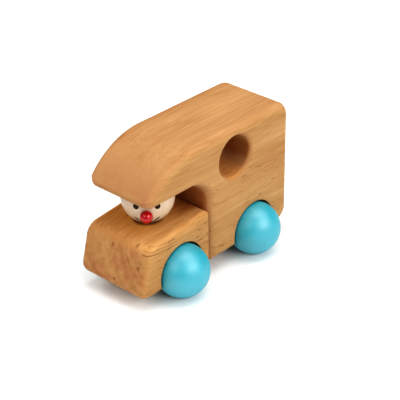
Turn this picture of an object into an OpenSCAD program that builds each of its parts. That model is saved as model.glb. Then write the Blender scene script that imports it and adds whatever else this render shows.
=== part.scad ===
// Wooden toy camper van with ball wheels and a captive ball-headed driver, in mm.
// X runs forward, Y to the van's left, Z up from the ground, with the origin under the middle of the van.

/* [Van] */
// Overall length, rear face to hood front
van_len = 122.4; // [100:0.2:160]
// Width of the camper block
body_w = 48.6; // [44:0.2:64]
// Height of the roof above the ground
roof_z = 85.2; // [78:0.2:110]
// Ground clearance under the block
floor_z = 8.5; // [7:0.1:12]
// Radius routed along the camper's edges
body_edge_r = 5.5; // [3:0.25:6]
// Profile radius at the rear top corner
rear_top_r = 8; // [6:0.5:12]
// Profile radius at the rear bottom corner
rear_floor_r = 9; // [6:0.5:12]

/* [Cab] */
// Height of the overhang's flat underside
over_z = 61.6; // [58:0.2:68]
// Radius of the arch between cab wall and overhang
arch_r = 12.5; // [8:0.5:14]
// Radius of the roof's long front curve
roof_r = 48.8; // [40:0.2:54]
// Distance ahead of the cab wall at which the roof starts to curve
roof_lead = 6; // [0:0.5:10]
// Radius at the overhang's tip
tip_r = 2.6; // [2:0.1:4]
// Radius of the overhang's front corners, seen from above
tip_corner_r = 9; // [7:0.25:11]
// Radius routed under the overhang's front corners
tip_foot_r = 3; // [2.5:0.25:4]

/* [Hood] */
// Length of the hood block ahead of the cab wall
hood_len = 54; // [50:0.5:66]
// Width of the hood block
hood_w = 48.6; // [42:0.2:60]
// Height of the hood's top at the middle of its front top corner
hood_z = 39; // [36:0.2:46]
// Angle by which the hood's top falls towards the front
hood_slope = 5.5; // [0:0.25:8]
// Radius routed along the hood's outer edges
hood_edge_r = 4.5; // [3:0.25:6]
// Radius of the small edge against the cab wall
hood_seam_r = 2; // [1:0.25:3]
// Profile radius at the front top corner
hood_brow_r = 10; // [8:0.5:14]
// Profile radius at the front bottom corner
hood_chin_r = 6.5; // [6:0.25:9]
// Angle by which the hood's front leans back
hood_rake = 14.5; // [0:0.5:18]

/* [Window] */
// Diameter of the round window, a finger hole
window_d = 25; // [18:0.5:30]
// Distance from the cab wall back to the window's middle
window_back = 22.1; // [18:0.1:30]
// Distance from the roof down to the window's middle
window_drop = 17.7; // [16:0.1:26]
// Radius of the window's rounded lip
window_lip_r = 3; // [1:0.25:4]

/* [Running gear] */
// Diameter of the ball wheels
wheel_d = 31; // [26:0.5:34]
// Distance between the axles
wheelbase = 60.2; // [54:0.2:70]
// Distance from the hood front back to the front axle
front_overhang = 31.4; // [28:0.1:40]
// Diameter of the axle dowels
axle_d = 8; // [6:0.5:10]
// Depth to which an axle is glued in its wheel
axle_socket = 12; // [8:0.5:16]
// Gap between the wheel ball and its pocket wall
pocket_gap = 1.3; // [1:0.05:3]
// Radial clearance of an axle in its bore
axle_clear = 0.08; // [0.05:0.01:0.2]

/* [Driver] */
// Diameter of the driver's ball head
head_d = 30; // [26:0.5:32]
// Distance of the head's middle ahead of the front axle
head_lead = 0.7; // [-2:0.1:2]
// Gap between the head and its dish in the hood
dish_gap = 0.3; // [0.2:0.05:0.5]
// Gap between the head and its socket in the overhang
socket_gap = 0.8; // [0.5:0.1:1.5]
// Depth of the dish in the hood's top
dish_depth = 2; // [0.6:0.1:3]
// Diameter of the bead nose
nose_d = 7; // [5:0.25:8]
// Depth to which the bead sits in the head
nose_sink = 1; // [0.5:0.1:2]
// Diameter of the nose's shank
nose_shank_d = 3; // [2:0.25:4]
// Length of the shank inside the head
nose_shank_len = 6; // [4:0.5:9]
// Angle from straight ahead to the face, towards the left
face_turn = 42; // [-180:1:180]
// Angle of the nose below level
nose_dip = 12; // [0:1:25]

/* [Hood dowels] */
// Diameter of the dowels between hood and cab wall
dowel_d = 8; // [6:0.5:9]
// Wood left between a dowel's end and the front wheel pocket
dowel_wall = 1.3; // [1:0.1:3]
// Depth of a dowel in the camper block
dowel_body = 12; // [8:0.5:16]
// Distance of each dowel from the middle plane
dowel_y = 12; // [9:0.5:15]
// Distance from the hood's top down to the dowels
dowel_drop = 8.6; // [7:0.2:10]

/* [Hidden] */
$fn = 96;
lap = 1;
// A routed edge crosses its two faces at a slight angle, as a roundover bit set a hair deep does.
bit_depth = 0.05;

rear_x = -van_len / 2;
front_x = van_len / 2;
seam_x = front_x - hood_len;
roof_x = seam_x + roof_lead;
roof_c_z = roof_z - roof_r;
tip_c_z = over_z + tip_r - bit_depth;
tip_c_x = roof_x + sqrt(pow(roof_r - tip_r + bit_depth, 2) - pow(tip_c_z - roof_c_z, 2));
tip_a = atan2(tip_c_z - roof_c_z, tip_c_x - roof_x);
tip_corner_x = tip_c_x + tip_r - tip_corner_r;
tip_corner_y = body_w / 2 - tip_corner_r;
// The knob that an overhang corner ends in stands proud of the faces it rounds and crosses them at an angle.
tip_proud = 0.6;
tip_knob_r = tip_corner_r + tip_proud;
tip_foot_c = tip_foot_r - bit_depth;

wheel_r = wheel_d / 2;
axle_z = wheel_r;
front_axle_x = front_x - front_overhang;
rear_axle_x = front_axle_x - wheelbase;
wheel_y = body_w / 2;
pocket_r = wheel_r + pocket_gap;
pocket_y = wheel_y - wheel_r - lap;
axle_half = wheel_y - wheel_r + axle_socket;

// The hood's front face runs between the chin's and the brow's circles, which stand bit_depth proud of it.
chin_x = front_x - hood_chin_r;
chin_z = floor_z + hood_chin_r;
brow_z = hood_z - hood_brow_r;
brow_top = hood_brow_r - bit_depth;
brow_x = chin_x + (hood_chin_r - hood_brow_r - (brow_z - chin_z) * sin(hood_rake)) / cos(hood_rake);

// Heights of the hood's sloping top, above the brow's circle at its front end and lower by what it stands proud.
function hood_top(x) = brow_z + brow_top / cos(hood_slope) + (brow_x - x) * tan(hood_slope);
hood_seam_z = hood_top(seam_x);

// A dowel goes into the hood until its lower edge comes within dowel_wall of the wheel pocket.
dowel_rise = hood_z - dowel_drop - dowel_d / 2 - axle_z;
dowel_hood = front_axle_x - sqrt(max(0, pow(pocket_r, 2) - pow(dowel_rise, 2))) - dowel_wall - seam_x;

window_x = seam_x - window_back;
window_z = roof_z - window_drop;

head_r = head_d / 2;
head_x = front_axle_x + head_lead;
head_z = hood_top(head_x) - dish_depth + head_r + dish_gap;
nose_c = head_r + nose_d / 2 - nose_sink;

wood = [0.84, 0.62, 0.38];
dowel_wood = [0.86, 0.72, 0.52];
turquoise = [0.27, 0.74, 0.84];
cream = [0.93, 0.87, 0.77];
red = [0.8, 0.05, 0.12];

// Section of what a roundover bit takes off an edge at the origin, with the wood at minus x and minus y.
module cove(r) {
    c = bit_depth - r;
    difference() {
        translate([c, c])
            square(r + lap);
        translate([c, c])
            circle(r);
    }
}

// The next three route one edge of a profile drawn in x and y and drawn out along z.
// They cut at z = side; facing is 1 if the wood lies on the minus side of the edge.
module route_along_x(x0, x1, y, side, r, facing) {
    translate([x0, y, side])
        rotate([90, 0, 90])
            linear_extrude(x1 - x0)
                mirror([facing < 0 ? 1 : 0, 0])
                    cove(r);
}

module route_along_y(x, y0, y1, side, r, facing) {
    translate([x, y1, side])
        rotate([90, 0, 0])
            linear_extrude(y1 - y0)
                mirror([facing < 0 ? 1 : 0, 0])
                    cove(r);
}

// The arc starts at a0, which is square to the edge that it carries on from, and may run either way round to a1.
module route_arc(x, y, arc_r, a0, a1, side, r, facing) {
    translate([x, y, side])
        rotate([0, 0, a0])
            mirror([0, a1 < a0 ? 1 : 0, 0])
                rotate_extrude(angle = abs(a1 - a0))
                    translate([arc_r, 0])
                        mirror([facing < 0 ? 1 : 0, 0])
                            cove(r);
}

// What rounds a profile's lower left corner at the origin.
module corner_waste(r) {
    difference() {
        translate([-lap, -lap])
            square(r + lap);
        translate([r, r])
            circle(r);
    }
}

// Repeats what it's given on both sides of a profile drawn out along z.
module both_faces() {
    children();
    mirror([0, 0, 1])
        children();
}

// Stands a profile drawn in x and y upright, so that it's drawn out across the van.
module upright() {
    rotate([90, 0, 0])
        children();
}

module cab_opening() {
    difference() {
        translate([seam_x, floor_z - lap])
            square([van_len, over_z - floor_z + lap]);
        translate([seam_x, over_z])
            mirror([0, 1])
                difference() {
                    translate([-lap, -lap])
                        square(arch_r + lap);
                    translate([arch_r, arch_r])
                        circle(arch_r);
                }
    }
}

module tip_waste() {
    reach = 4 * tip_r;
    translate([tip_c_x, tip_c_z])
        difference() {
            polygon([[0, 0], [0, -reach], [reach, -reach], reach * [cos(tip_a), sin(tip_a)]]);
            circle(tip_r);
        }
}

// Half section of that knob, with y up from the underside.
module tip_knob_section() {
    translate([0, tip_foot_c])
        square([tip_knob_r, roof_z - over_z]);
    translate([0, -2 * lap])
        square([tip_knob_r - tip_foot_r, tip_foot_c + 3 * lap]);
    translate([tip_knob_r - tip_foot_r, tip_foot_c])
        circle(tip_foot_r);
}

// What takes an overhang corner back to that knob.
module tip_corner_waste() {
    translate([tip_corner_x, tip_corner_y, over_z])
        difference() {
            translate([0, 0, -lap])
                cube([3 * tip_corner_r, 3 * tip_corner_r, roof_z - over_z]);
            rotate_extrude()
                tip_knob_section();
        }
}

module body_profile() {
    difference() {
        union() {
            translate([rear_x, floor_z])
                square([roof_x - rear_x, roof_z - floor_z]);
            intersection() {
                translate([roof_x, roof_c_z])
                    circle(roof_r);
                translate([roof_x, over_z - lap])
                    square(roof_r + lap);
            }
        }
        translate([rear_x, floor_z])
            corner_waste(rear_floor_r);
        translate([rear_x, roof_z])
            mirror([0, 1])
                corner_waste(rear_top_r);
        cab_opening();
        tip_waste();
    }
}

module body_routing() {
    side = body_w / 2;
    floor_c = rear_floor_r;
    top_c = rear_top_r;
    route_along_x(rear_x + floor_c, seam_x + lap, floor_z, side, body_edge_r, -1);
    route_arc(rear_x + floor_c, floor_z + floor_c, floor_c, 180, 270, side, body_edge_r, 1);
    route_along_y(rear_x, floor_z + floor_c, roof_z - top_c, side, body_edge_r, -1);
    route_arc(rear_x + top_c, roof_z - top_c, top_c, 90, 180, side, body_edge_r, 1);
    route_along_x(rear_x + top_c, roof_x, roof_z, side, body_edge_r, 1);
    route_arc(roof_x, roof_c_z, roof_r, 0, 90, side, body_edge_r, 1);
    route_along_x(seam_x + arch_r, seam_x + roof_r + arch_r, over_z, side, body_edge_r, -1);
    route_arc(seam_x + arch_r, over_z - arch_r, arch_r, 90, 180, side, body_edge_r, -1);
    route_along_y(seam_x, floor_z - lap, over_z - arch_r, side, body_edge_r, 1);
    route_arc(window_x, window_z, window_d / 2, 0, 360, side, window_lip_r, -1);
}

// The wheel pockets are open below, where they run out through the floor.
module wheel_pockets(x) {
    for (side = [0, 1])
        mirror([0, side, 0])
            translate([x, pocket_y, axle_z])
                rotate([-90, 0, 0])
                    cylinder(r = pocket_r, h = body_w);
}

module axle_bore(x) {
    translate([x, 0, axle_z])
        rotate([90, 0, 0])
            cylinder(d = axle_d + 2 * axle_clear, h = body_w, center = true);
}

module hood_dowel(y) {
    translate([seam_x - dowel_body, y, hood_z - dowel_drop])
        rotate([0, 90, 0])
            cylinder(d = dowel_d, h = dowel_body + dowel_hood);
}

module camper_body() {
    color(wood)
        difference() {
            upright()
                difference() {
                    linear_extrude(body_w, center = true)
                        body_profile();
                    both_faces()
                        body_routing();
                }
            translate([window_x, 0, window_z])
                rotate([90, 0, 0])
                    cylinder(d = window_d, h = body_w + 2 * lap, center = true);
            for (side = [0, 1])
                mirror([0, side, 0])
                    tip_corner_waste();
            wheel_pockets(rear_axle_x);
            axle_bore(rear_axle_x);
            hood_dowel(dowel_y);
            hood_dowel(-dowel_y);
            translate([head_x, 0, head_z])
                sphere(head_r + socket_gap);
        }
}

// What's cut from a hood corner outside its circle, between the raked front and a face that's square to angle a.
module raked_corner_waste(r, a) {
    reach = 4 * r;
    far = (a + hood_rake) / 2;
    difference() {
        polygon([[0, 0], reach * [cos(a), sin(a)], 2 * reach * [cos(far), sin(far)],
                 reach * [cos(hood_rake), sin(hood_rake)]]);
        circle(r);
    }
}

module hood_profile() {
    difference() {
        translate([seam_x, floor_z])
            square([hood_len, hood_seam_z - floor_z]);
        translate([chin_x, chin_z])
            rotate(hood_rake)
                translate([hood_chin_r - bit_depth, -van_len / 2])
                    square(van_len);
        translate([chin_x, chin_z])
            raked_corner_waste(hood_chin_r, -90);
        translate([brow_x, brow_z])
            raked_corner_waste(hood_brow_r, 90 - hood_slope);
        translate([brow_x, brow_z])
            rotate(-hood_slope)
                translate([-van_len, brow_top])
                    square(2 * van_len);
        translate([seam_x, hood_seam_z])
            mirror([0, 1])
                corner_waste(hood_seam_r);
    }
}

module hood_routing() {
    side = hood_w / 2;
    route_along_x(seam_x - lap, chin_x, floor_z, side, hood_edge_r, -1);
    route_arc(chin_x, chin_z, hood_chin_r, -90, hood_rake, side, hood_edge_r, 1);
    translate([chin_x, chin_z])
        rotate(hood_rake)
            route_along_y(hood_chin_r - bit_depth, -lap, hood_z - floor_z, side, hood_edge_r, 1);
    route_arc(brow_x, brow_z, hood_brow_r, 90 - hood_slope, hood_rake, side, hood_edge_r, 1);
    translate([brow_x, brow_z])
        rotate(-hood_slope)
            route_along_x(seam_x - brow_x - hood_edge_r, lap, brow_top, side, hood_edge_r, 1);
    route_along_y(seam_x, floor_z - lap, hood_seam_z + lap, side, hood_seam_r, -1);
}

module hood_block() {
    color(wood)
        difference() {
            upright()
                difference() {
                    linear_extrude(hood_w, center = true)
                        hood_profile();
                    both_faces()
                        hood_routing();
                }
            wheel_pockets(front_axle_x);
            axle_bore(front_axle_x);
            hood_dowel(dowel_y);
            hood_dowel(-dowel_y);
            translate([head_x, 0, head_z])
                sphere(head_r + dish_gap);
        }
}

module hood_dowel_left() {
    color(dowel_wood)
        hood_dowel(dowel_y);
}

module hood_dowel_right() {
    color(dowel_wood)
        hood_dowel(-dowel_y);
}

module axle(x) {
    translate([x, 0, axle_z])
        rotate([90, 0, 0])
            cylinder(d = axle_d, h = 2 * axle_half, center = true);
}

module wheel(x, side) {
    difference() {
        translate([x, side * wheel_y, axle_z])
            rotate([-90, 0, 0])
                sphere(wheel_r);
        axle(x);
    }
}

module front_axle() {
    color(dowel_wood)
        axle(front_axle_x);
}

module front_left_wheel() {
    color(turquoise)
        wheel(front_axle_x, 1);
}

module front_right_wheel() {
    color(turquoise)
        wheel(front_axle_x, -1);
}

module rear_axle() {
    color(dowel_wood)
        axle(rear_axle_x);
}

module rear_left_wheel() {
    color(turquoise)
        wheel(rear_axle_x, 1);
}

module rear_right_wheel() {
    color(turquoise)
        wheel(rear_axle_x, -1);
}

// Puts what's drawn along x in the head's frame, so that x leaves the face through the nose.
module face() {
    translate([head_x, 0, head_z])
        rotate([0, nose_dip, face_turn])
            children();
}

module nose_solid() {
    face() {
        translate([nose_c, 0, 0])
            rotate([0, 90, 0])
                sphere(d = nose_d);
        translate([head_r - nose_shank_len, 0, 0])
            rotate([0, 90, 0])
                cylinder(d = nose_shank_d, h = nose_shank_len + nose_d / 4);
    }
}

module driver_head() {
    color(cream)
        difference() {
            translate([head_x, 0, head_z])
                sphere(head_r);
            nose_solid();
        }
}

module driver_nose() {
    color(red)
        nose_solid();
}

camper_body();
hood_block();
hood_dowel_left();
hood_dowel_right();
front_axle();
front_left_wheel();
front_right_wheel();
rear_axle();
rear_left_wheel();
rear_right_wheel();
driver_head();
driver_nose();
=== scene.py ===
import math

import bpy
from mathutils import Matrix, Vector


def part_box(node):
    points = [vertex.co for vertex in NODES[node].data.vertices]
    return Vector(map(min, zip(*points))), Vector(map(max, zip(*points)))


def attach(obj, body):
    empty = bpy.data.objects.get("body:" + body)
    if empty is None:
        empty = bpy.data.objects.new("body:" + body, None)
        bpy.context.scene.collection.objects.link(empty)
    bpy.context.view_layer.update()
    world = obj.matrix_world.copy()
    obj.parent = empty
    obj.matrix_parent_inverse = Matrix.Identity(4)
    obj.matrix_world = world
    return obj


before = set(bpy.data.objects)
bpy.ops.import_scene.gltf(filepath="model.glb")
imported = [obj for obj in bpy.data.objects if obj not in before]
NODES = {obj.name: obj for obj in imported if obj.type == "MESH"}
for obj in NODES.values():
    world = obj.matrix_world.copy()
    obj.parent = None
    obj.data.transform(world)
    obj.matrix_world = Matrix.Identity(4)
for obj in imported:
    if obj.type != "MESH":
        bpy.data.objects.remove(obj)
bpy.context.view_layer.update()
MM = 0.001
scene = bpy.context.scene

# Sizes and places from the frame, in mm: the driver's head, and how far out the wheels' middles stand.
low, high = (Vector(c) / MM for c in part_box("driver_head"))
HEAD_CENTRE = (low + high) / 2.0
HEAD_R = (high.z - low.z) / 2.0
low, high = (Vector(c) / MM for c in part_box("front_left_wheel"))
WHEEL_Y = (low.y + high.y) / 2.0

# Values that repeat the part's source, in mm and degrees: the window's middle and radius, the face's turn.
WINDOW_X = -14.9
WINDOW_Z = 67.5
WINDOW_R = 12.5
FACE_TURN = 42.0

# The face's paint, in mm: how far it stands off the head, and how deep its rim and the eyes' backs lie in it.
EYE_PAINT = 0.07
SMILE_PAINT = 0.06
RIM_SINK = 0.03
BACK_SINK = 0.08
DEGREES_PER_MM = math.degrees(1.0 / HEAD_R)

# What the colour is multiplied by on the sides of the hood, the dowels and the axles.
SIDE_TINT = (0.985, 1.02, 1.0)

# The sockets of Blender's Mix node that carry colours.
MIX_COLOURS = slice(6, 8)
MIX_RESULT = 2

# The camera that was fitted to the photo: its place and its lens in mm, and the directions of its axes.
CAMERA_PLACE = Vector((462.02, 441.25, 410.26))
CAMERA_RIGHT = Vector((-0.6766, 0.7363, -0.0124))
CAMERA_UP = Vector((-0.3784, -0.3333, 0.8635))
CAMERA_BACK = Vector((0.6317, 0.5889, 0.5041))
LENS = 117.767
SENSOR = 36.0

# The studio. Lights are name, place, aim and size in metres, and power in watts.
FLOOR_HALF = 6.0
WORLD_STRENGTH = 0.06
EXPOSURE = -0.45
LIGHTS = (
    ("key", (-0.25, 0.20, 1.50), (0.0, 0.0, 0.03), (0.9, 1.8), 19.5),
    ("dome", (0.55, 0.35, 1.50), (0.55, 0.35, 0.0), (2.6, 2.4), 6.0),
    ("side", (-0.12, 1.36, 0.85), (0.0, 0.0, 0.04), (1.4, 0.8), 20.6),
    ("right", (0.45, -0.95, 1.15), (0.0, 0.0, 0.04), (0.9, 0.8), 9.0),
    ("front", (1.35, -0.05, 1.00), (0.0, 0.0, 0.04), (1.3, 0.9), 10.5),
)


class Tree:
    """Short names for the nodes that the materials are made of. Positions are in mm in the part's frame."""

    def __init__(self, name):
        self.material = bpy.data.materials.new(name)
        self.material.use_nodes = True
        self.tree = self.material.node_tree
        self.shader = self.tree.nodes["Principled BSDF"]

    def node(self, kind, **settings):
        made = self.tree.nodes.new("ShaderNode" + kind)
        for key, value in settings.items():
            setattr(made, key, value)
        return made

    def put(self, socket, value):
        """Links the socket to another one, or sets it to a constant."""
        if isinstance(value, bpy.types.NodeSocket):
            self.tree.links.new(value, socket)
        else:
            socket.default_value = value

    def put_all(self, sockets, values):
        for socket, value in zip(sockets, values):
            self.put(socket, value)

    def math(self, operation, *values, clamp=False):
        made = self.node("Math", operation=operation, use_clamp=clamp)
        self.put_all(made.inputs, values)
        return made.outputs[0]

    def add(self, a, b, clamp=False):
        return self.math("ADD", a, b, clamp=clamp)

    def less(self, a, b, clamp=False):
        return self.math("SUBTRACT", a, b, clamp=clamp)

    def times(self, a, b):
        return self.math("MULTIPLY", a, b)

    def size(self, value):
        """The value without its sign."""
        return self.math("ABSOLUTE", value)

    def swing(self, noise, share):
        """Noise from 0 to 1 as a swing about nought."""
        return self.times(self.less(noise, 0.5), share)

    def blend(self, a, share_a, b, share_b):
        """The sum of two values, each times its share."""
        return self.add(self.times(a, share_a), self.times(b, share_b))

    def vector(self, operation, *values):
        made = self.node("VectorMath", operation=operation)
        self.put_all(made.inputs, values)
        return made.outputs["Vector"]

    def length(self, vector):
        made = self.node("VectorMath", operation="LENGTH")
        self.put(made.inputs[0], vector)
        return made.outputs["Value"]

    def split(self, vector):
        made = self.node("SeparateXYZ")
        self.put(made.inputs[0], vector)
        return made.outputs

    def join(self, x, y, z):
        made = self.node("CombineXYZ")
        self.put_all(made.inputs, (x, y, z))
        return made.outputs[0]

    def place(self):
        """The surface point in mm."""
        metres = self.node("TexCoord").outputs["Object"]
        return self.vector("MULTIPLY", metres, (1.0 / MM, 1.0 / MM, 1.0 / MM))

    def normal(self):
        """The part's own surface normal, which turns with it."""
        return self.node("TexCoord").outputs["Normal"]

    def noise(self, place, stretch, detail=2.0, rough=0.5, shift=(0.0, 0.0, 0.0)):
        """Noise from 0 to 1 whose grains are about stretch mm long each way."""
        scaled = self.vector("MULTIPLY", place, tuple(1.0 / s for s in stretch))
        made = self.node("TexNoise")
        self.put(made.inputs["Vector"], self.vector("ADD", scaled, shift))
        self.put(made.inputs["Scale"], 1.0)
        self.put(made.inputs["Detail"], detail)
        self.put(made.inputs["Roughness"], rough)
        return made.outputs["Fac"]

    def span(self, value, low, high, to_low, to_high):
        """value taken from low..high to to_low..to_high, with soft ends."""
        made = self.node("MapRange", interpolation_type="SMOOTHSTEP")
        self.put_all(made.inputs, (value, low, high, to_low, to_high))
        return made.outputs[0]

    def rise(self, value, low, high):
        """0 up to low and 1 from high on."""
        return self.span(value, low, high, to_low=0.0, to_high=1.0)

    def fade(self, value, low, high):
        """1 up to low and 0 from high on."""
        return self.span(value, low, high, to_low=1.0, to_high=0.0)

    def mix(self, share, a, b):
        made = self.node("Mix", data_type="RGBA")
        self.put(made.inputs[0], share)
        for socket, value in zip(made.inputs[MIX_COLOURS], (a, b)):
            self.put(socket, (*value, 1.0) if isinstance(value, tuple) else value)
        return made.outputs[MIX_RESULT]

    def bump(self, height, strength, depth):
        made = self.node("Bump")
        self.put(made.inputs["Strength"], strength)
        self.put(made.inputs["Distance"], depth * MM)
        self.put(made.inputs["Height"], height)
        self.put(self.shader.inputs["Normal"], made.outputs["Normal"])

    def finish(self, colour, rough):
        self.put(self.shader.inputs["Base Color"], colour)
        self.put(self.shader.inputs["Roughness"], rough)
        return self.material


class Wood(Tree):
    """Oiled wood whose fibres run along the van.

    grain and then flecks come first and oil comes last. Each method between them adds a layer to the colour.
    marks is the height that dark marks lose. shift moves the pattern, so that no two woods have the same one.
    """

    def __init__(self, name, shift):
        super().__init__(name)
        self.shift = shift
        self.spot = self.place()
        self.x, self.y, self.z = self.split(self.spot)
        self.nx, self.ny, self.nz = self.split(self.normal())
        # Fibres are cut across on the faces that look along the van.
        self.cut = self.rise(self.size(self.nx), low=0.50, high=0.95)
        self.side = self.span(self.size(self.ny), low=0.60, high=0.95, to_low=0.12, to_high=1.0)
        # The fibres wander up to this far from straight lines, in mm.
        sway_y, sway_z = 7.0, 5.0
        self.wander = self.patches((60.0, 30.0, 30.0), detail=1.0, rough=0.5)
        sway = self.join(0.0, self.times(self.wander, sway_y), self.times(self.wander, sway_z))
        self.bent = self.vector("ADD", self.spot, sway)
        self.fibre = self.strands(length=24.0, width=0.8, detail=3.0, rough=0.65)
        self.mottle = self.patches((5.0, 4.2, 3.4), detail=3.0, rough=0.6)
        self.pores = self.patches((2.0, 0.5, 0.5), detail=2.0, rough=0.6)

    def patches(self, stretch, detail, rough):
        """Noise at the surface point."""
        return self.noise(self.spot, stretch, detail, rough, self.shift)

    def strands(self, length, width, detail=1.0, rough=0.5):
        """Noise drawn out along the wandering fibres."""
        return self.noise(self.bent, (length, width, width), detail, rough, self.shift)

    def tint(self, share, factor):
        """Takes the colour times factor, by share."""
        self.colour = self.mix(share, self.colour, self.vector("MULTIPLY", self.colour, factor))

    def grain(self, light, dark, bands=0.6, end_spots=0.08, end_rings=0.55, pith=(20.0, -70.0)):
        """Bands, streaks and fibres along the van, and spots and growth rings where they are cut across.

        pith is the (y, z) of the rings' middle.
        """
        tones, streaks, fibres, pores = 0.8, 0.65, 1.3, 0.6
        middle_level = 0.42
        tone = self.strands(length=80.0, width=13.0)
        band = self.strands(length=120.0, width=4.6)
        streak = self.strands(length=50.0, width=1.9, detail=2.0, rough=0.6)
        lines = 0.0
        for strand, share in ((tone, tones), (band, bands), (streak, streaks), (self.fibre, fibres)):
            lines = self.add(lines, self.swing(strand, share))
        uncut = self.span(self.size(self.nx), low=0.25, high=0.70, to_low=1.0, to_high=0.14)
        lines = self.times(lines, uncut)

        ring_sway, ring_width, rear_rings = 9.0, 2.6, 1.1
        from_pith = self.length(self.join(0.0, self.less(self.y, pith[0]), self.less(self.z, pith[1])))
        across_rings = self.join(self.add(from_pith, self.times(self.wander, ring_sway)), 0.0, 0.0)
        growth = self.noise(across_rings, (ring_width, 1.0, 1.0), rough=0.55, shift=self.shift)
        backward = self.times(self.nx, -1.0)
        rings = self.span(backward, low=0.50, high=0.95, to_low=end_rings, to_high=rear_rings)
        spots = self.add(self.less(self.mottle, 0.5), self.swing(self.pores, pores))
        spots = self.add(self.times(spots, end_spots), self.swing(growth, rings))

        level = self.add(lines, self.times(spots, self.cut))
        self.colour = self.mix(self.add(level, middle_level, clamp=True), light, dark)

    def flecks(self, dark):
        """Short dark dashes along the fibres, in patches: most on the sides, and fewer high up on the van."""
        strength = 0.72
        a, b, c = self.shift
        dashes = self.rise(self.strands(length=6.5, width=0.75), low=0.62, high=0.72)
        where = self.noise(self.spot, (24.0, 10.0, 10.0), detail=1.0, shift=(b, c, a))
        flecks = self.times(dashes, self.rise(where, low=0.36, high=0.54))
        flecks = self.times(flecks, self.span(self.z, low=52.0, high=64.0, to_low=1.0, to_high=0.12))
        self.colour = self.mix(self.times(self.times(flecks, self.side), strength), self.colour, dark)
        self.marks = flecks

    def layer_lines(self, dark):
        """Dark lines where near level layers come out on the hood's left front corner, darkest low down."""
        # The lowest layer's height at x = 0, its rise per mm forward, and the distance to the next one up.
        height, rise, gap = 31.9, 0.064, 1.75
        front, back = 57.0, 30.0
        front_fade, back_fade = 2.0, 9.0
        waviness = 1.3
        wave = self.noise(self.spot, (11.0, 5.0, 7.0), shift=(4.0, 1.0, 7.0))
        over = self.less(self.z, self.add(height, self.times(self.x, rise)))
        layer = self.math("DIVIDE", self.add(over, self.swing(wave, waviness)), gap)
        from_line = self.size(self.less(self.math("FRACT", self.add(layer, 0.5)), 0.5))
        line = self.fade(from_line, low=0.04, high=0.17)
        past_back = self.rise(self.x, back, back + back_fade)
        reach = self.times(past_back, self.fade(self.x, front - front_fade, front))
        reach = self.times(reach, self.rise(self.y, low=17.5, high=20.5))
        weaker = self.span(layer, low=0.3, high=0.7, to_low=0.85, to_high=0.45)
        strength = self.times(self.rise(layer, low=-0.5, high=-0.3), weaker)
        strength = self.times(strength, self.fade(layer, low=1.2, high=3.2))
        lines = self.times(self.times(line, strength), reach)
        self.colour = self.mix(lines, self.colour, dark)
        self.marks = self.add(self.marks, lines)

    def speck(self, place, dark):
        """A small dark spot with a ragged rim, drawn out along the fibres."""
        squeeze = (0.35, 1.0, 1.0)
        ragged, strength = 1.6, 0.55
        off = self.vector("MULTIPLY", self.vector("SUBTRACT", self.spot, place), squeeze)
        speck = self.fade(self.add(self.length(off), self.swing(self.pores, ragged)), low=0.2, high=1.6)
        self.colour = self.mix(self.times(speck, strength), self.colour, dark)
        self.marks = self.add(self.marks, speck)

    def end_tints_and_recess_shade(self):
        """End grain between the van's two ends, as on the cab wall, is made darker as painted shade, and end
        grain is redder in clouds.
        """
        painted_recess_shade, redder = (0.86, 0.66, 0.48), (0.94, 0.82, 0.88)
        middle_x = -3.0
        # Painted shade: end grain in the recesses between the ends, such as the cab wall and the window's
        # bore, is made darker and more saturated.
        in_recess = self.fade(self.size(self.less(self.x, middle_x)), low=44.0, high=50.0)
        self.tint(self.times(self.rise(self.size(self.nx), low=0.80, high=0.97), in_recess), painted_recess_shade)
        cloud = self.rise(self.patches((16.0, 13.0, 11.0), detail=2.0, rough=0.6), low=0.36, high=0.62)
        self.tint(self.times(self.cut, cloud), redder)

    def hood_top_painted_light(self):
        """Painted light and shade on the top: a warmer painted bounce light under the overhang, painted light
        towards the front and along the left edge, painted shade behind the head and a dark ring of painted
        contact shadow round its dish.
        """
        painted_bounce, painted_front_light, painted_edge_light = (1.22, 1.02, 0.66), (1.08, 1.0, 0.92), (1.33, 1.36, 1.32)
        painted_head_shade, painted_contact_shadow = (0.80, 0.56, 0.36), (0.34, 0.22, 0.14)
        # Radius of the ring of painted contact shadow, at about the dish's rim.
        shadow_ring_r = 7.8
        # A warmer painted bounce light under the overhang, fading to lighter painted light towards the front.
        tint = self.mix(self.rise(self.x, low=38.0, high=54.0), painted_bounce, painted_front_light)
        # Painted light along the left edge.
        tint = self.mix(self.rise(self.y, low=3.0, high=19.0), tint, painted_edge_light)
        # Painted shade behind the head, towards the cab wall.
        across = self.fade(self.size(self.y), low=12.0, high=19.0)
        tint = self.mix(self.times(self.fade(self.x, low=9.0, high=27.0), across), tint, painted_head_shade)
        # A ring of painted contact shadow round the head's dish.
        from_axis = self.length(self.join(self.less(self.x, HEAD_CENTRE.x), self.y, 0.0))
        from_shadow_ring = self.size(self.less(from_axis, shadow_ring_r))
        tint = self.mix(self.span(from_shadow_ring, low=0.3, high=2.0, to_low=0.8, to_high=0.0), tint, painted_contact_shadow)
        # All this painted light and shade goes only on faces that look up.
        self.tint(self.rise(self.nz, low=0.50, high=0.92), tint)

    def window_floor_painted_light(self):
        """Painted light on the lower wall of the window's bore: its faces that look up are made lighter."""
        paler = (1.34, 1.20, 0.92)
        fade_from, fade_to = 0.2, 1.2
        off = self.join(self.less(self.x, WINDOW_X), 0.0, self.less(self.z, WINDOW_Z))
        within = self.fade(self.length(off), WINDOW_R + fade_from, WINDOW_R + fade_to)
        # Painted light on the bore's faces that look up.
        self.tint(self.times(within, self.rise(self.nz, low=0.50, high=1.0)), paler)

    def oil(self):
        """Long edges rubbed smooth by hands and made lighter as a painted highlight, and a dull sheen and
        relief along the fibres. Gives the material.
        """
        painted_edge_highlight, highlight_share = (1.05, 1.05, 1.05), 0.7
        dull, fibre_rough, end_rough, polish_smooth = 0.56, 0.22, 0.08, 0.10
        pore_height, fibre_height = 0.45, 0.5
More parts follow.
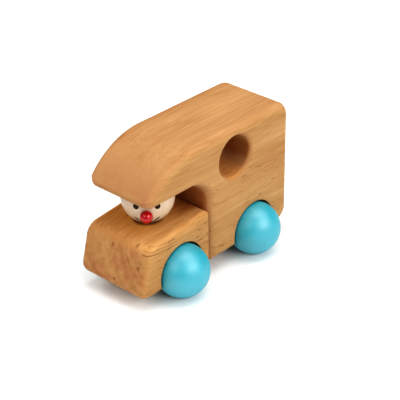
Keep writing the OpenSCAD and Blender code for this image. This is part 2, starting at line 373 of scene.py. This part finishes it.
        # This is 1 half way between a side and the top or the floor.
        edge = self.times(self.size(self.times(self.ny, self.nz)), 2.0)
        patchy = self.span(self.mottle, low=0.3, high=0.7, to_low=0.5, to_high=1.0)
        polish_and_highlight = self.times(self.rise(edge, low=0.45, high=0.98), patchy)
        # Painted highlight: the long edges' colour is made a little lighter; their polish only makes them
        # smoother below.
        self.tint(self.times(polish_and_highlight, highlight_share), painted_edge_highlight)
        rough = self.add(dull, self.swing(self.fibre, fibre_rough))
        rough = self.add(rough, self.times(self.cut, end_rough))
        rough = self.less(rough, self.times(polish_and_highlight, polish_smooth), clamp=True)
        relief = self.mix(self.cut, self.fibre, self.times(self.pores, pore_height))
        self.bump(self.less(self.times(relief, fibre_height), self.marks), strength=0.25, depth=0.12)
        self.shader.inputs["Specular IOR Level"].default_value = 0.08
        self.shader.inputs["Specular Tint"].default_value = (1.0, 0.72, 0.45, 1.0)
        return self.finish(self.colour, rough)


def body_wood():
    """The camper's block."""
    wood = Wood("body_wood", shift=(3.7, 11.2, 5.9))
    wood.grain(light=(0.484, 0.282, 0.136), dark=(0.326, 0.152, 0.058))
    wood.flecks(dark=(0.190, 0.074, 0.024))
    wood.end_tints_and_recess_shade()
    wood.tint(wood.side, (1.0, 1.065, 1.02))
    wood.window_floor_painted_light()
    return wood.oil()


def hood_wood():
    """The hood's block, from another plank, with layer lines and a few dark spots."""
    dark_marks = (0.150, 0.052, 0.016)
    specks = ((56.2, -1.8, 33.9), (52.8, 13.6, 37.5), (61.2, 2.9, 15.8), (58.1, 18.8, 27.7))
    wood = Wood("hood_wood", shift=(8.1, 2.4, 17.3))
    wood.grain(
        light=(0.500, 0.290, 0.126), dark=(0.310, 0.140, 0.048),
        bands=0.9, end_spots=1.1, end_rings=0.9, pith=(62.0, 68.0),
    )
    wood.flecks(dark_marks)
    wood.layer_lines(dark_marks)
    for place in specks:
        wood.speck(place, dark_marks)
    wood.end_tints_and_recess_shade()
    # Painted light and shade on the hood's top.
    wood.hood_top_painted_light()
    wood.tint(wood.side, SIDE_TINT)
    return wood.oil()


def dowel_wood():
    """The dowels and the axles."""
    wood = Wood("dowel_wood", shift=(1.3, 6.6, 9.4))
    wood.grain(light=(0.50, 0.29, 0.13), dark=(0.40, 0.20, 0.075))
    wood.flecks(dark=(0.26, 0.10, 0.03))
    wood.end_tints_and_recess_shade()
    wood.tint(wood.side, SIDE_TINT)
    return wood.oil()


def wheel_paint():
    """Satin paint on turned wood: faint grain that shows through, orange peel and a scuffed rolling band."""
    deep, pale, scuffed = (0.004, 0.318, 0.402), (0.009, 0.356, 0.442), (0.30, 0.62, 0.68)
    scuff_share = 0.18
    satin, coat_rough, scuff_rough = 0.45, 0.06, 0.15
    t = Tree("turquoise_paint")
    place = t.place()
    y = t.split(place)[1]
    coat = t.noise(place, (9.0, 9.0, 9.0))
    grain = t.noise(place, (1.1, 7.0, 1.1), rough=0.55)
    peel = t.noise(place, (0.55, 0.55, 0.55))
    rubs = t.noise(place, (1.6, 0.7, 1.6), detail=3.0, rough=0.6)
    band = t.fade(t.size(t.less(t.size(y), WHEEL_Y)), low=0.6, high=3.0)
    scuff = t.times(band, t.rise(rubs, low=0.5, high=0.68))
    colour = t.mix(t.rise(t.blend(coat, 0.6, grain, 0.4), low=0.3, high=0.7), deep, pale)
    colour = t.mix(t.times(scuff, scuff_share), colour, scuffed)
    rough = t.add(satin, t.times(coat, coat_rough))
    rough = t.add(rough, t.times(scuff, scuff_rough))
    t.bump(t.blend(peel, 0.35, grain, 0.65), strength=0.12, depth=0.1)
    t.shader.inputs["Specular IOR Level"].default_value = 1.0
    t.shader.inputs["IOR"].default_value = 1.65
    return t.finish(colour, rough)


def head_wood():
    """Pale lacquered wood with fine grain and a little light passing into it."""
    pale, dark = (0.64, 0.515, 0.385), (0.55, 0.415, 0.29)
    lacquer, fine_rough = 0.34, 0.12
    t = Tree("head_lacquer")
    place = t.place()
    tone = t.noise(place, (9.0, 9.0, 9.0))
    grain = t.noise(place, (1.0, 1.0, 11.0), detail=3.0, rough=0.6)
    fine = t.noise(place, (0.3, 0.3, 3.0))
    colour = t.mix(t.rise(t.blend(grain, 0.6, tone, 0.4), low=0.3, high=0.72), pale, dark)
    t.bump(t.blend(grain, 0.5, fine, 0.5), strength=0.12, depth=0.08)
    t.shader.inputs["Subsurface Weight"].default_value = 0.08
    t.shader.inputs["Subsurface Radius"].default_value = (1.0, 0.5, 0.25)
    t.shader.inputs["Subsurface Scale"].default_value = 0.6 * MM
    return t.finish(colour, t.add(lacquer, t.times(fine, fine_rough)))


def nose_paint():
    """Thick glossy red lacquer with faint orange peel."""
    deep, bright = (0.36, 0.003, 0.008), (0.46, 0.006, 0.012)
    gloss, peel_rough = 0.13, 0.06
    t = Tree("nose_lacquer")
    place = t.place()
    tone = t.noise(place, (2.6, 2.6, 2.6))
    peel = t.noise(place, (0.4, 0.4, 0.4))
    colour = t.mix(t.rise(tone, low=0.3, high=0.7), deep, bright)
    t.bump(peel, strength=0.08, depth=0.05)
    t.shader.inputs["Specular IOR Level"].default_value = 0.6
    return t.finish(colour, t.add(gloss, t.times(peel, peel_rough)))


def face_paint():
    """Hand-painted dark brown, lighter where the brush lifted."""
    dark, thin = (0.022, 0.009, 0.004), (0.045, 0.019, 0.008)
    sheen, brush_rough = 0.32, 0.2
    t = Tree("face_paint")
    place = t.place()
    brush = t.noise(place, (0.5, 0.5, 0.9), detail=3.0, rough=0.6)
    colour = t.mix(t.rise(brush, low=0.35, high=0.7), dark, thin)
    t.bump(brush, strength=0.15, depth=0.05)
    t.shader.inputs["Specular IOR Level"].default_value = 0.15
    return t.finish(colour, t.add(sheen, t.times(brush, brush_rough)))


def floor_paper():
    """Matt white paper."""
    shade, light = (0.88, 0.88, 0.88), (0.91, 0.91, 0.91)
    matt, tooth_rough = 0.8, 0.1
    t = Tree("studio_paper")
    place = t.place()
    tooth = t.noise(place, (2.0, 2.0, 2.0), detail=3.0, rough=0.6)
    t.bump(tooth, strength=0.05, depth=0.1)
    t.shader.inputs["Specular IOR Level"].default_value = 0.1
    return t.finish(t.mix(tooth, shade, light), t.add(matt, t.times(tooth, tooth_rough)))


def wear(material, *nodes):
    """Gives CAD nodes their material."""
    for name in nodes:
        slots = NODES[name].data.materials
        slots.clear()
        slots.append(material)


def on_head(azimuth, elevation, lift):
    """A point lift mm off the head's surface, at angles from the face's middle in degrees."""
    a = math.radians(FACE_TURN + azimuth)
    e = math.radians(elevation)
    out = Vector((math.cos(e) * math.cos(a), math.cos(e) * math.sin(a), math.sin(e)))
    return (HEAD_CENTRE + out * (HEAD_R + lift)) * MM


def paint_lift(share, thick):
    """How far paint stands off the head, at a share of the way from its middle to its rim."""
    return thick * (1.0 - share ** 4) - RIM_SINK * share ** 8


def piece(name, points, front, back, material, body):
    """A closed piece with a smooth front and a flat back."""
    mesh = bpy.data.meshes.new(name)
    mesh.from_pydata(points, [], front + back)
    mesh.polygons.foreach_set("use_smooth", [True] * len(front) + [False] * len(back))
    mesh.materials.append(material)
    made = bpy.data.objects.new(name, mesh)
    scene.collection.objects.link(made)
    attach(made, body)


def eye(name, side, material):
    """A round dot of paint, a little taller than it's wide, on the left (side 1) or the right (side -1)."""
    rings, around = 6, 40
    half_w, half_h = 1.80, 1.95
    spread, aside, elevation, lean = 23.0, 0.8, 4.0, 8.0
    azimuth = spread * side + aside
    tilt = math.radians(lean * side)
    c, s = math.cos(tilt), math.sin(tilt)
    points = [on_head(azimuth, elevation, EYE_PAINT)]
    for i in range(1, rings + 1):
        share = i / rings
        lift = paint_lift(share, EYE_PAINT)
        for k in range(around):
            a = 2.0 * math.pi * k / around
            u, v = half_w * share * math.cos(a), half_h * share * math.sin(a)
            u, v = u * c - v * s, u * s + v * c
            points.append(on_head(azimuth + u * DEGREES_PER_MM, elevation + v * DEGREES_PER_MM, lift))
    points.append(on_head(azimuth, elevation, -BACK_SINK))

    front = [(0, 1 + k, 1 + (k + 1) % around) for k in range(around)]
    for i in range(rings - 1):
        a, b = 1 + i * around, 1 + (i + 1) * around
        front += [(a + k, b + k, b + (k + 1) % around, a + (k + 1) % around) for k in range(around)]
    hub, rim = len(points) - 1, 1 + (rings - 1) * around
    back = [(hub, rim + (k + 1) % around, rim + k) for k in range(around)]
    piece(name, points, front, back, material, "driver")


def smile(material):
    """A brush line that runs round under the nose and swells near its ends."""
    along, across = 64, 6
    width = 1.25
    # Degrees from the face's middle to each end, the ends' elevation, and how far the line sags below them.
    reach, ends, sag = 30.0, -26.5, 25.0
    swell, swell_from, swell_over = 0.5, 0.72, 0.16
    blunt = 0.05
    points, front = [], []
    for i in range(along + 1):
        s = 2.0 * i / along - 1.0
        azimuth, elevation = reach * s, ends - sag * (1.0 - s * s)
        n = Vector((-2.0 * sag * s / reach, 1.0)).normalized()
        thicker = 1.0 + swell * max(0.0, min(1.0, (abs(s) - swell_from) / swell_over))
        half = 0.5 * width * thicker * DEGREES_PER_MM * max(blunt, 1.0 - abs(s) ** 12) ** 0.5
        for k in range(across + 1):
            v = 2.0 * k / across - 1.0
            lift = paint_lift(v, SMILE_PAINT)
            points.append(on_head(azimuth + n.x * half * v, elevation + n.y * half * v, lift))

    row = across + 1
    for i in range(along):
        for k in range(across):
            a = i * row + k
            front.append((a, a + row, a + row + 1, a + 1))
    back = [(i * row, i * row + across, (i + 1) * row + across, (i + 1) * row) for i in range(along)]
    back += [tuple(range(row)), tuple(reversed(range(along * row, (along + 1) * row)))]
    piece("driver_smile", points, front, back, material, "driver")


def area_light(name, place, aim, size, power):
    """A soft box at place that faces aim."""
    lamp = bpy.data.lights.new(name, "AREA")
    lamp.shape = "RECTANGLE"
    lamp.size, lamp.size_y = size
    lamp.energy = power
    made = bpy.data.objects.new(name, lamp)
    made.location = place
    made.rotation_euler = (Vector(aim) - Vector(place)).to_track_quat("-Z", "Y").to_euler()
    scene.collection.objects.link(made)


def studio():
    """A pale floor, faint light from all round and soft boxes."""
    half = FLOOR_HALF
    floor_mesh = bpy.data.meshes.new("floor")
    corners = [(-half, -half, 0.0), (half, -half, 0.0), (half, half, 0.0), (-half, half, 0.0)]
    floor_mesh.from_pydata(corners, [], [(0, 1, 2, 3)])
    floor_mesh.materials.append(floor_paper())
    floor = bpy.data.objects.new("floor", floor_mesh)
    scene.collection.objects.link(floor)

    world = bpy.data.worlds.new("studio")
    world.use_nodes = True
    around = world.node_tree.nodes["Background"]
    around.inputs["Color"].default_value = (1.0, 1.0, 1.0, 1.0)
    around.inputs["Strength"].default_value = WORLD_STRENGTH
    scene.world = world
    scene.view_settings.view_transform = "Standard"
    scene.view_settings.look = "High Contrast"
    scene.view_settings.exposure = EXPOSURE
    for light in LIGHTS:
        area_light(*light)


def photo_camera():
    """The camera at the photo's view."""
    camera_data = bpy.data.cameras.new("camera")
    camera_data.sensor_width = SENSOR
    camera_data.lens = LENS
    camera = bpy.data.objects.new("camera", camera_data)
    turn = Matrix((CAMERA_RIGHT, CAMERA_UP, CAMERA_BACK)).transposed().to_4x4()
    camera.matrix_world = Matrix.Translation(CAMERA_PLACE * MM) @ turn
    scene.collection.objects.link(camera)
    bpy.context.scene.camera = camera


wear(body_wood(), "camper_body")
wear(hood_wood(), "hood_block")
wear(dowel_wood(), "hood_dowel_left", "hood_dowel_right", "front_axle", "rear_axle")
wear(wheel_paint(), "front_left_wheel", "front_right_wheel", "rear_left_wheel", "rear_right_wheel")
wear(head_wood(), "driver_head")
wear(nose_paint(), "driver_nose")

brown = face_paint()
eye("driver_eye_left", 1, brown)
eye("driver_eye_right", -1, brown)
smile(brown)

studio()
photo_camera()
